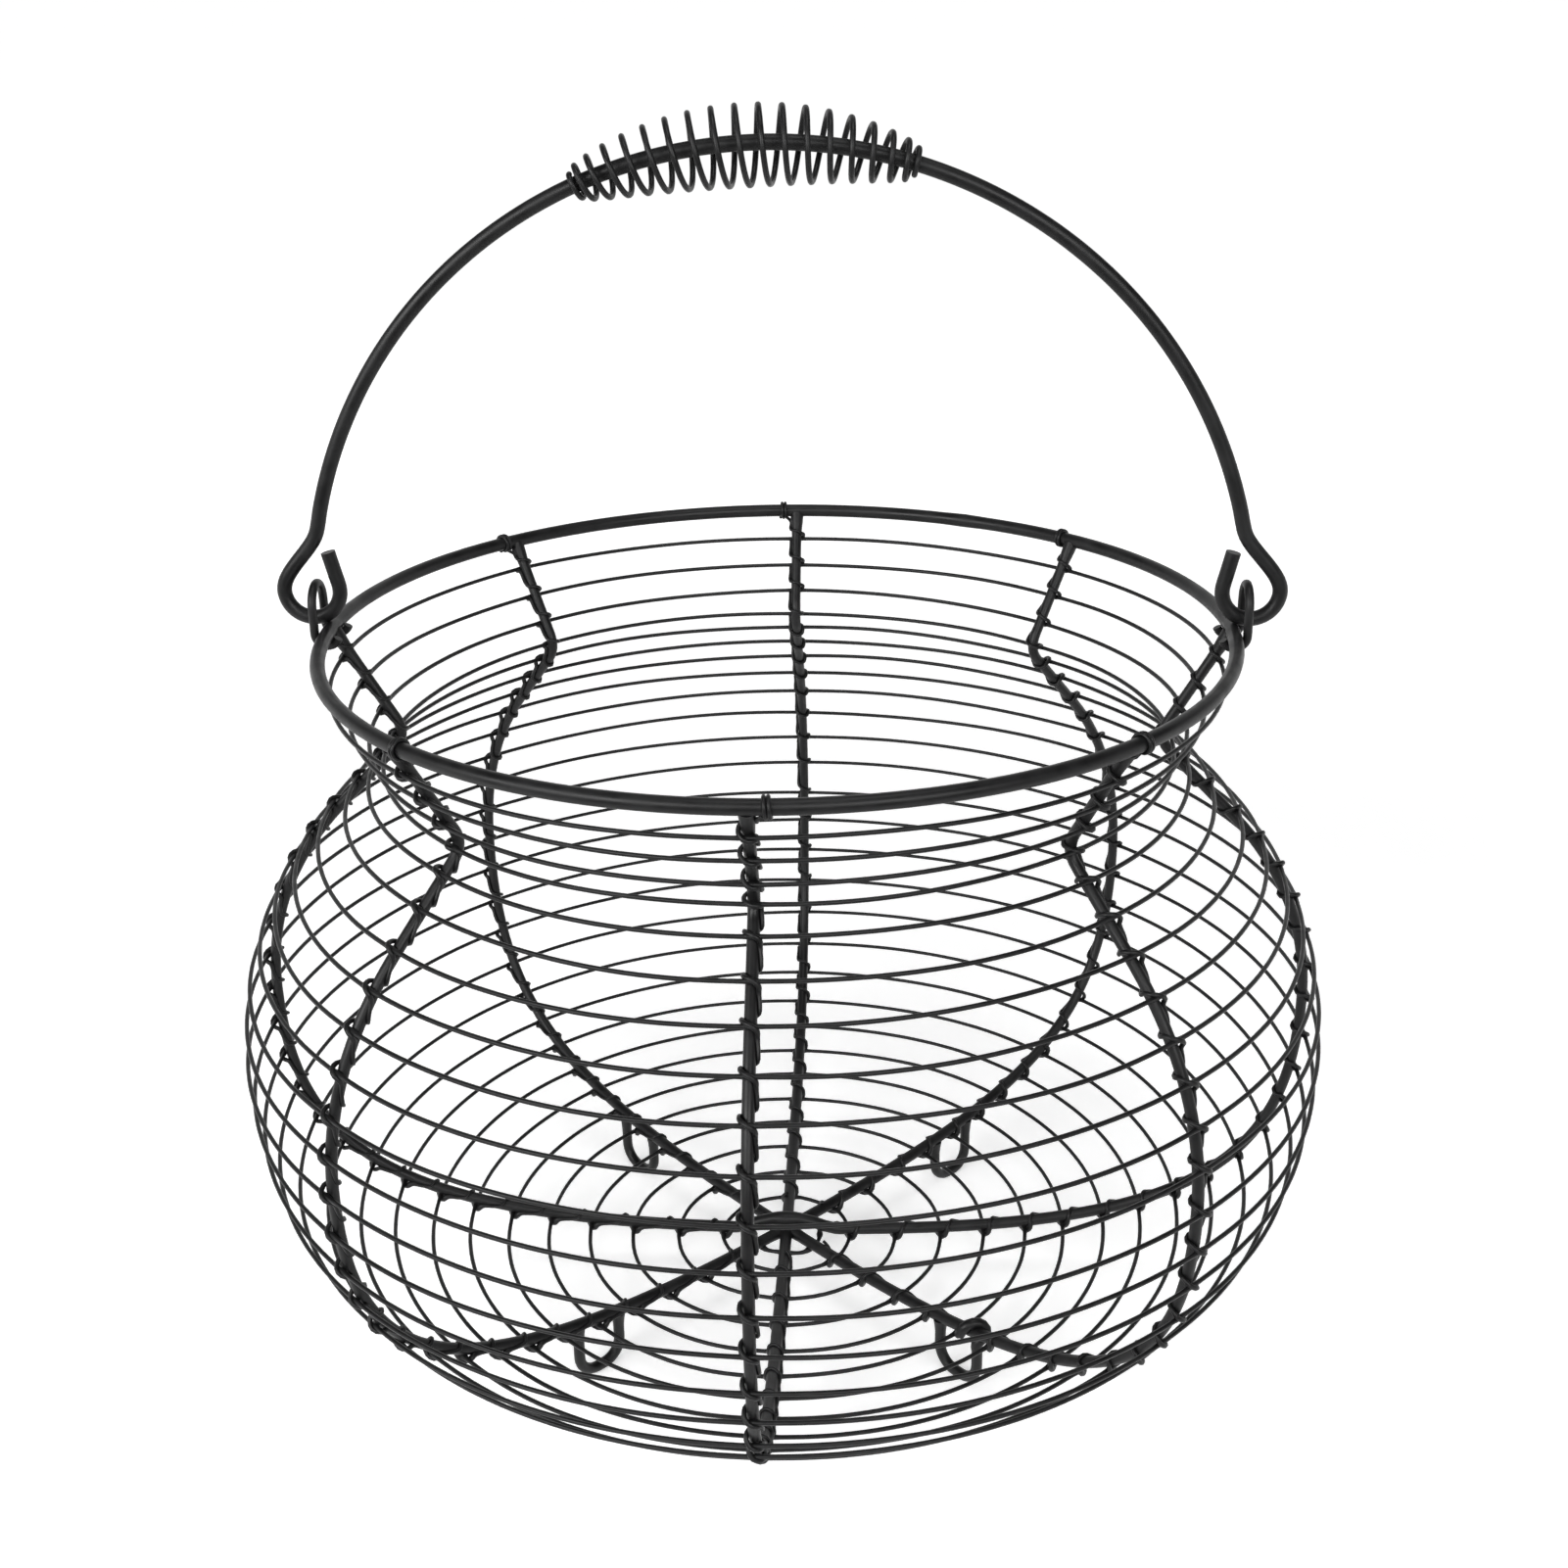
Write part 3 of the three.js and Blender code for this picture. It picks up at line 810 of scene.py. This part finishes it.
class EGGBASKET_OT_feet(bpy.types.Operator):
    """Bends a loop under each diagonal rib and fixes its legs: one is curled over its rib"""

    bl_idname = "egg_basket.feet"
    bl_label = "Feet"

    # A leg ends this far below the rib's middle, in diameters of the rib
    LEG_TOP = 0.3
    LEG_STEPS, CORNER_STEPS = 4, 6
    # The curled end: millimetres along the rib and bearing round it, sunk into it by a little
    CURL = ((0.2, 70), (0.8, 125), (2.2, 180), (3.8, 235), (5.2, 285))
    CURL_SINK = 0.4 * MM

    def execute(self, context):
        scene = context.scene
        wires, feet = scene.basket_wires, scene.basket_feet
        line = RibLine(scene.basket_body)
        for name, azimuth in diagonals():
            points, swell = self.loop(line, wires, feet)
            if name == "front_right":
                curl = self.curl(line, wires, feet)
                points[-1:] = curl
                swell[-1:] = [1.0] * len(curl)
            foot = draw_wire(
                f"foot_{name}_loop", turned(points, azimuth), wires.foot, 14, swell=swell, smooth=2
            )
            fit(foot, f"foot_{name}", "basket", rod_paint(scene))
        return {"FINISHED"}

    def loop(self, line, wires, feet):
        """Points of one foot in the plane of its rib, and its thickness at each."""
        ground = wires.foot / 2
        legs = []
        for side in (-1, 1):
            radius = feet.radius + side * feet.width / 2
            top = line.beside(line.station_at_radius(radius), 0, wires.rib * self.LEG_TOP).z
            drop = ground + feet.corner - top
            heights = [top + drop * k / self.LEG_STEPS for k in range(self.LEG_STEPS)]
            leg = [Vector((radius, 0, height)) for height in heights]
            for k in range(self.CORNER_STEPS + 1):
                turn = k / self.CORNER_STEPS * math.pi / 2
                reach = feet.width / 2 - feet.corner * (1 - math.cos(turn))
                height = ground + feet.corner * (1 - math.sin(turn))
                leg.append(Vector((feet.radius + side * reach, 0, height)))
            legs.append(leg)
        points = legs[0] + [Vector((feet.radius, 0, ground))] + list(reversed(legs[1]))
        last = len(points) - 1
        swell = [1 + feet.weld * math.exp(-(min(k, last - k) ** 2)) for k in range(last + 1)]
        return points, swell

    def curl(self, line, wires, feet):
        """Points of an outer leg's end that goes up beside the rib and over it."""
        start = line.station_at_radius(feet.radius + feet.width / 2)
        over = (wires.rib + wires.foot) / 2 - self.CURL_SINK
        return [
            line.around(start + inwards * MM, math.radians(degrees), over)
            for inwards, degrees in self.CURL
        ]


# Handle


class EGGBASKET_OT_eyes(bpy.types.Operator):
    """Bends the two eyes and clasps their legs round the rim"""

    bl_idname = "egg_basket.eyes"
    bl_label = "Eyes"

    def execute(self, context):
        scene = context.scene
        wires, body, handle = scene.basket_wires, scene.basket_body, scene.basket_handle
        clearance, chamfer, sides = 0.1 * MM, 0.25 * MM, 14
        crown_steps, clasp_steps = 6, 12
        clasp = (wires.rim + wires.eye) / 2 + clearance
        half_width = handle.eye_width / 2
        x = body.rim_radius + clasp
        crown = body.rim_height + handle.eye_height - half_width
        half = []
        for k in range(crown_steps + 1):
            turn = k / crown_steps * math.pi / 2
            half.append(
                Vector((x, half_width * math.sin(turn), crown + half_width * math.cos(turn)))
            )
        for share in (0.35, 0.7):
            half.append(Vector((x, half_width, crown + (body.rim_height - crown) * share)))
        for k in range(clasp_steps + 1):
            half.append(round_rim(body, clasp, -k / clasp_steps * handle.eye_clasp, half_width))
        points = [Vector((p.x, -p.y, p.z)) for p in reversed(half[1:])] + half
        for name, azimuth in (("right", 0.0), ("left", math.pi)):
            eye = draw_wire(
                f"eye_{name}_loop", turned(points, azimuth), wires.eye, sides, smooth=2
            )
            chamfer_ends(sides, chamfer)
            fit(eye, f"eye_{name}", "basket", rod_paint(scene))
        return {"FINISHED"}


class EGGBASKET_OT_handle(bpy.types.Operator):
    """Bends the handle wire: an arch with a hook at each end"""

    bl_idname = "egg_basket.handle"
    bl_label = "Handle"

    def execute(self, context):
        scene = context.scene
        body, handle = scene.basket_body, scene.basket_handle
        arch_steps, bend_points, hook_steps, end_steps = 34, 9, 14, 4
        chamfer, sides = 0.3 * MM, 18
        centre = Vector((0, 0, body.rim_height))
        arch_end = math.asin(handle.arch_end_height / handle.arch_radius)

        def spoke(turn, radius):
            """From the middle of a bend to its wire."""
            return Vector((math.cos(turn), 0, math.sin(turn))) * radius

        half = []
        for k in range(arch_steps):
            turn = math.pi / 2 - k / arch_steps * (math.pi / 2 - arch_end)
            half.append(centre + spoke(turn, handle.arch_radius))
        start = centre + spoke(arch_end, handle.arch_radius)
        rise = math.sqrt(handle.hook_radius**2 - handle.hook_outset**2)
        middle = Vector((body.rim_radius + handle.hook_outset, 0, HINGE_HEIGHT + rise))
        hook_top = middle + spoke(0, handle.hook_radius)
        down = spoke(arch_end - math.pi / 2, handle.hook_bend_pull)
        up = Vector((0, 0, handle.hook_bend_pull))
        half += interpolate_bezier(start, start + down, hook_top + up, hook_top, bend_points)
        sweep = math.pi + handle.hook_lean
        for k in range(1, hook_steps + 1):
            half.append(middle + spoke(-k / hook_steps * sweep, handle.hook_radius))
        tip = spoke(math.pi / 2 - handle.hook_lean, handle.hook_end_run)
        hook_end = half[-1]
        for k in range(1, end_steps + 1):
            half.append(hook_end + tip * k / end_steps)
        bail = draw_wire("bail_rod", mirrored(half), scene.basket_wires.bail, sides, smooth=2)
        chamfer_ends(sides, chamfer)
        fit(bail, "bail", "handle", rod_paint(scene))
        return {"FINISHED"}


class EGGBASKET_OT_grip(bpy.types.Operator):
    """Winds the grip: a barrel-shaped coil, close on the handle wire at both ends"""

    bl_idname = "egg_basket.grip"
    bl_label = "Grip"

    def execute(self, context):
        scene = context.scene
        wires, body, handle = scene.basket_wires, scene.basket_body, scene.basket_handle
        end_radius = (wires.bail + wires.grip) / 2 + handle.grip_ease
        swell = (handle.grip_diameter - wires.grip) / 2 - end_radius
        end_length = handle.grip_turns * handle.grip_end_pitch
        power = handle.grip_pitch_power
        points_per_turn, sides, chamfer = 16, 12, 0.15 * MM
        # The first and the last twentieth of the coil draw in to the handle wire
        draw_in = 20
        count = round(handle.grip_turns * points_per_turn)
        points = []
        for k in range(count + 1):
            share = k / count
            from_middle = 2 * share - 1
            taper = math.copysign(abs(from_middle) ** (power + 1), from_middle)
            opened = (from_middle * (power + 1) - taper) / (2 * power)
            along = handle.grip_shift + end_length * from_middle / 2
            along += (handle.grip_length - end_length) * opened
            arch_turn = math.pi / 2 - along / handle.arch_radius
            turn = share * handle.grip_turns * math.tau
            radius = end_radius + swell * math.sin(math.pi * share)
            radius -= handle.grip_ease * max(0, 1 - draw_in * min(share, 1 - share))
            reach = handle.arch_radius + radius * math.cos(turn)
            reach -= handle.grip_sag * math.sin(math.pi * share)
            points.append(
                Vector(
                    (
                        reach * math.cos(arch_turn),
                        -radius * math.sin(turn),
                        body.rim_height + reach * math.sin(arch_turn),
                    )
                )
            )
        coil = draw_wire("grip_coil_wire", points, wires.grip, sides, smooth=2)
        chamfer_ends(sides, chamfer)
        fit(coil, "grip_coil", "handle", rod_paint(scene))
        return {"FINISHED"}


# Stage


FLOOR_SIZE, FLOOR_SHIFT = 8, 1
BACKDROP_HEIGHT, COVE_RADIUS, COVE_STEPS = 4, 1.5, 12
FLOOR_ROUGHNESS, FLOOR_SPECULAR = 0.9, 0.1
# Ranges over which the stage fades: of a floor point's Y and its distance from the basket,
# and of a direction's Y and Z. Before the basket and far off the floor fades to black with a grey
# glow, painted shade of an unlit room
BEHIND_RANGE = (-0.5, -0.13)
LIT_RANGE = (0.9, 1.9)
GLOW_RANGE = (0.2, 1.2)
HORIZON_RANGE = (-0.7, 0.2)
SKY_RANGE = (0.12, 0.35)
# Name, setting, width and place of each lamp
LAMPS = (
    ("overhead_lamp", "overhead_power", 0.6, (0.1, -0.1, 1.5)),
    ("left_lamp", "left_power", 1.3, (-1.0, -1.1, 0.76)),
    ("right_lamp", "right_power", 1.1, (0.58, -1.35, 0.78)),
)
LAMP_HEIGHT = 0.6
LAMP_TARGET = Vector((0, 0, 0.13))
CAMERA_PLACE = (0.02883, -0.48452, 0.35084)
CAMERA_DEGREES = (67.3298, 0.8348, 2.9147)
SENSOR_WIDTH = 36
CLIP_START = 0.01


def seen_directly(nodes, links):
    """A factor of 1 for the camera's rays and for rays that mirrors and glass send on."""
    path = nodes.new("ShaderNodeLightPath")
    total = path.outputs["Is Camera Ray"]
    for kind in ("Is Glossy Ray", "Is Transmission Ray"):
        either = nodes.new("ShaderNodeMath")
        either.operation = "MAXIMUM"
        links.new(total, either.inputs[0])
        links.new(path.outputs[kind], either.inputs[1])
        total = either.outputs["Value"]
    return total


def horizon(nodes, links, direction, stage):
    """The room's grey at the horizon, from front_glow before the basket to white behind it."""
    unit = nodes.new("ShaderNodeVectorMath")
    unit.operation = "NORMALIZE"
    links.new(direction, unit.inputs[0])
    axes = nodes.new("ShaderNodeSeparateXYZ")
    links.new(unit.outputs["Vector"], axes.inputs["Vector"])
    return map_range(nodes, links, axes.outputs["Y"], HORIZON_RANGE, (stage.front_glow, 1))


class EGGBASKET_OT_stage(bpy.types.Operator):
    """Lays the floor with its backdrop, and sets the lamps and the camera"""

    bl_idname = "egg_basket.stage"
    bl_label = "Stage"

    def execute(self, context):
        scene = context.scene
        self.floor(scene.basket_stage)
        self.surroundings(scene)
        self.lamps(scene.basket_stage)
        self.camera(scene)
        scene.view_settings.view_transform = "Standard"
        return {"FINISHED"}

    @staticmethod
    def floor(stage):
        """A floor that turns up into a backdrop; its material fades into the room. Before the
        basket and far off, its colour is painted black and it glows with the room's grey: painted
        shade of an unlit room.
        """
        bpy.ops.object.select_all(action="DESELECT")
        bpy.ops.mesh.primitive_plane_add(size=FLOOR_SIZE, location=(0, FLOOR_SHIFT, 0))
        floor = bpy.context.object
        floor.name = "floor"
        bpy.ops.object.transform_apply(location=True)
        back = FLOOR_SHIFT + FLOOR_SIZE / 2
        slack = 0.1

        def pick_back_edge():
            """Selects the floor's edge at the back."""
            bpy.ops.object.mode_set(mode="EDIT")
            bpy.ops.mesh.select_mode(type="EDGE")
            bpy.ops.mesh.select_all(action="DESELECT")
            bpy.ops.object.mode_set(mode="OBJECT")
            for edge in floor.data.edges:
                ends = [floor.data.vertices[v].co for v in edge.vertices]
                edge.select = all(p.y > back - slack and p.z < slack for p in ends)
            bpy.ops.object.mode_set(mode="EDIT")

        pick_back_edge()
        bpy.ops.mesh.extrude_region_move(TRANSFORM_OT_translate={"value": (0, 0, BACKDROP_HEIGHT)})
        pick_back_edge()
        bpy.ops.mesh.bevel(offset=COVE_RADIUS, segments=COVE_STEPS, affect="EDGES")
        bpy.ops.object.mode_set(mode="OBJECT")
        bpy.ops.object.shade_smooth()
        finish = bpy.data.materials.new("pale_floor")
        finish.use_nodes = True
        nodes, links = finish.node_tree.nodes, finish.node_tree.links
        shader = nodes["Principled BSDF"]
        shader.inputs["Roughness"].default_value = FLOOR_ROUGHNESS
        shader.inputs["Specular IOR Level"].default_value = FLOOR_SPECULAR
        place = nodes.new("ShaderNodeTexCoord")
        away = nodes.new("ShaderNodeVectorMath")
        away.operation = "LENGTH"
        links.new(place.outputs["Object"], away.inputs[0])
        axes = nodes.new("ShaderNodeSeparateXYZ")
        links.new(place.outputs["Object"], axes.inputs["Vector"])
        behind = map_range(nodes, links, axes.outputs["Y"], BEHIND_RANGE, (0, 1))
        # Painted shade: before the basket and far from it the floor's colour fades to black,
        # standing in for an unlit room, which also darkens what the wires reflect
        lit = map_range(nodes, links, away.outputs["Value"], LIT_RANGE, (behind, 0))
        colour = nodes.new("ShaderNodeValToRGB")
        colour.color_ramp.elements[0].color = (0, 0, 0, 1)
        colour.color_ramp.elements[1].color = (*stage.floor, 1)
        links.new(lit, colour.inputs["Fac"])
        links.new(colour.outputs["Color"], shader.inputs["Base Color"])
        # The floor's glow: near_glow under the basket, and further off the room's grey, painted on
        # as shade before the basket and white behind it
        room = horizon(nodes, links, place.outputs["Object"], stage)
        near = map_range(nodes, links, away.outputs["Value"], GLOW_RANGE, (behind, 0))
        strength = map_range(nodes, links, near, (0, 1), (room, stage.near_glow))
        share = nodes.new("ShaderNodeMath")
        share.operation = "MULTIPLY"
        links.new(strength, share.inputs[0])
        links.new(seen_directly(nodes, links), share.inputs[1])
        glow = nodes.new("ShaderNodeEmission")
        links.new(share.outputs["Value"], glow.inputs["Strength"])
        both = nodes.new("ShaderNodeAddShader")
        links.new(shader.outputs["BSDF"], both.inputs[0])
        links.new(glow.outputs["Emission"], both.inputs[1])
        links.new(both.outputs["Shader"], nodes["Material Output"].inputs["Surface"])
        floor.data.materials.append(finish)

    @staticmethod
    def surroundings(scene):
        """A room that is white behind the basket, grey before it and dim above."""
        stage = scene.basket_stage
        world = bpy.data.worlds.new("studio")
        scene.world = world
        world.use_nodes = True
        nodes, links = world.node_tree.nodes, world.node_tree.links
        light = nodes["Background"]
        light.inputs["Color"].default_value = (1, 1, 1, 1)
        place = nodes.new("ShaderNodeTexCoord")
        axes = nodes.new("ShaderNodeSeparateXYZ")
        links.new(place.outputs["Generated"], axes.inputs["Vector"])
        room = horizon(nodes, links, place.outputs["Generated"], stage)
        strength = map_range(nodes, links, axes.outputs["Z"], SKY_RANGE, (room, stage.ambient))
        links.new(strength, light.inputs["Strength"])

    @staticmethod
    def lamps(stage):
        """Wide lamps that all face the basket."""
        for name, setting, width, place in LAMPS:
            aim = (LAMP_TARGET - Vector(place)).to_track_quat("-Z", "Y").to_euler()
            bpy.ops.object.light_add(type="AREA", location=place, rotation=aim)
            lamp = bpy.context.object
            lamp.name = name
            lamp.data.energy = getattr(stage, setting)
            lamp.data.shape = "RECTANGLE"
            lamp.data.size = width
            lamp.data.size_y = LAMP_HEIGHT

    @staticmethod
    def camera(scene):
        """The camera, in front and above."""
        turn = [math.radians(degrees) for degrees in CAMERA_DEGREES]
        bpy.ops.object.camera_add(location=CAMERA_PLACE, rotation=turn)
        camera = bpy.context.object
        camera.data.sensor_width = SENSOR_WIDTH
        camera.data.lens = scene.basket_stage.lens
        camera.data.clip_start = CLIP_START
        scene.camera = camera


class EGGBASKET_PT_panel(bpy.types.Panel):
    """The basket's pieces and their sizes"""

    bl_label = "Egg Basket"
    bl_idname = "EGGBASKET_PT_panel"
    bl_space_type = "VIEW_3D"
    bl_region_type = "UI"
    bl_category = "Egg Basket"

    def draw(self, context):
        layout = self.layout
        for operator in OPERATORS:
            layout.operator(operator.bl_idname)
        for name in SETTINGS:
            settings = getattr(context.scene, name)
            box = layout.box()
            for key in settings.__annotations__:
                box.prop(settings, key)


SETTINGS = {
    "basket_wires": BasketWires,
    "basket_body": BasketBody,
    "basket_hoops": BasketHoops,
    "basket_bindings": BasketBindings,
    "basket_feet": BasketFeet,
    "basket_handle": BasketHandle,
    "basket_paint": BasketPaint,
    "basket_stage": BasketStage,
}
OPERATORS = (
    EGGBASKET_OT_rim,
    EGGBASKET_OT_ribs,
    EGGBASKET_OT_hoops,
    EGGBASKET_OT_bindings,
    EGGBASKET_OT_feet,
    EGGBASKET_OT_eyes,
    EGGBASKET_OT_handle,
    EGGBASKET_OT_grip,
    EGGBASKET_OT_stage,
)


def register():
    """Makes the settings, the operators and the panel known."""
    for name, settings in SETTINGS.items():
        bpy.utils.register_class(settings)
        setattr(bpy.types.Scene, name, PointerProperty(type=settings))
    for cls in (*OPERATORS, EGGBASKET_PT_panel):
        bpy.utils.register_class(cls)


def unregister():
    """Takes them away again."""
    for cls in (EGGBASKET_PT_panel, *reversed(OPERATORS)):
        bpy.utils.unregister_class(cls)
    for name, settings in SETTINGS.items():
        delattr(bpy.types.Scene, name)
        bpy.utils.unregister_class(settings)


def main():
    """Makes every piece and the stage."""
    register()
    bpy.ops.egg_basket.rim()
    bpy.ops.egg_basket.ribs()
    bpy.ops.egg_basket.hoops()
    bpy.ops.egg_basket.bindings()
    bpy.ops.egg_basket.feet()
    bpy.ops.egg_basket.eyes()
    bpy.ops.egg_basket.handle()
    bpy.ops.egg_basket.grip()
    bpy.ops.egg_basket.stage()


if __name__ == "__main__":
    main()
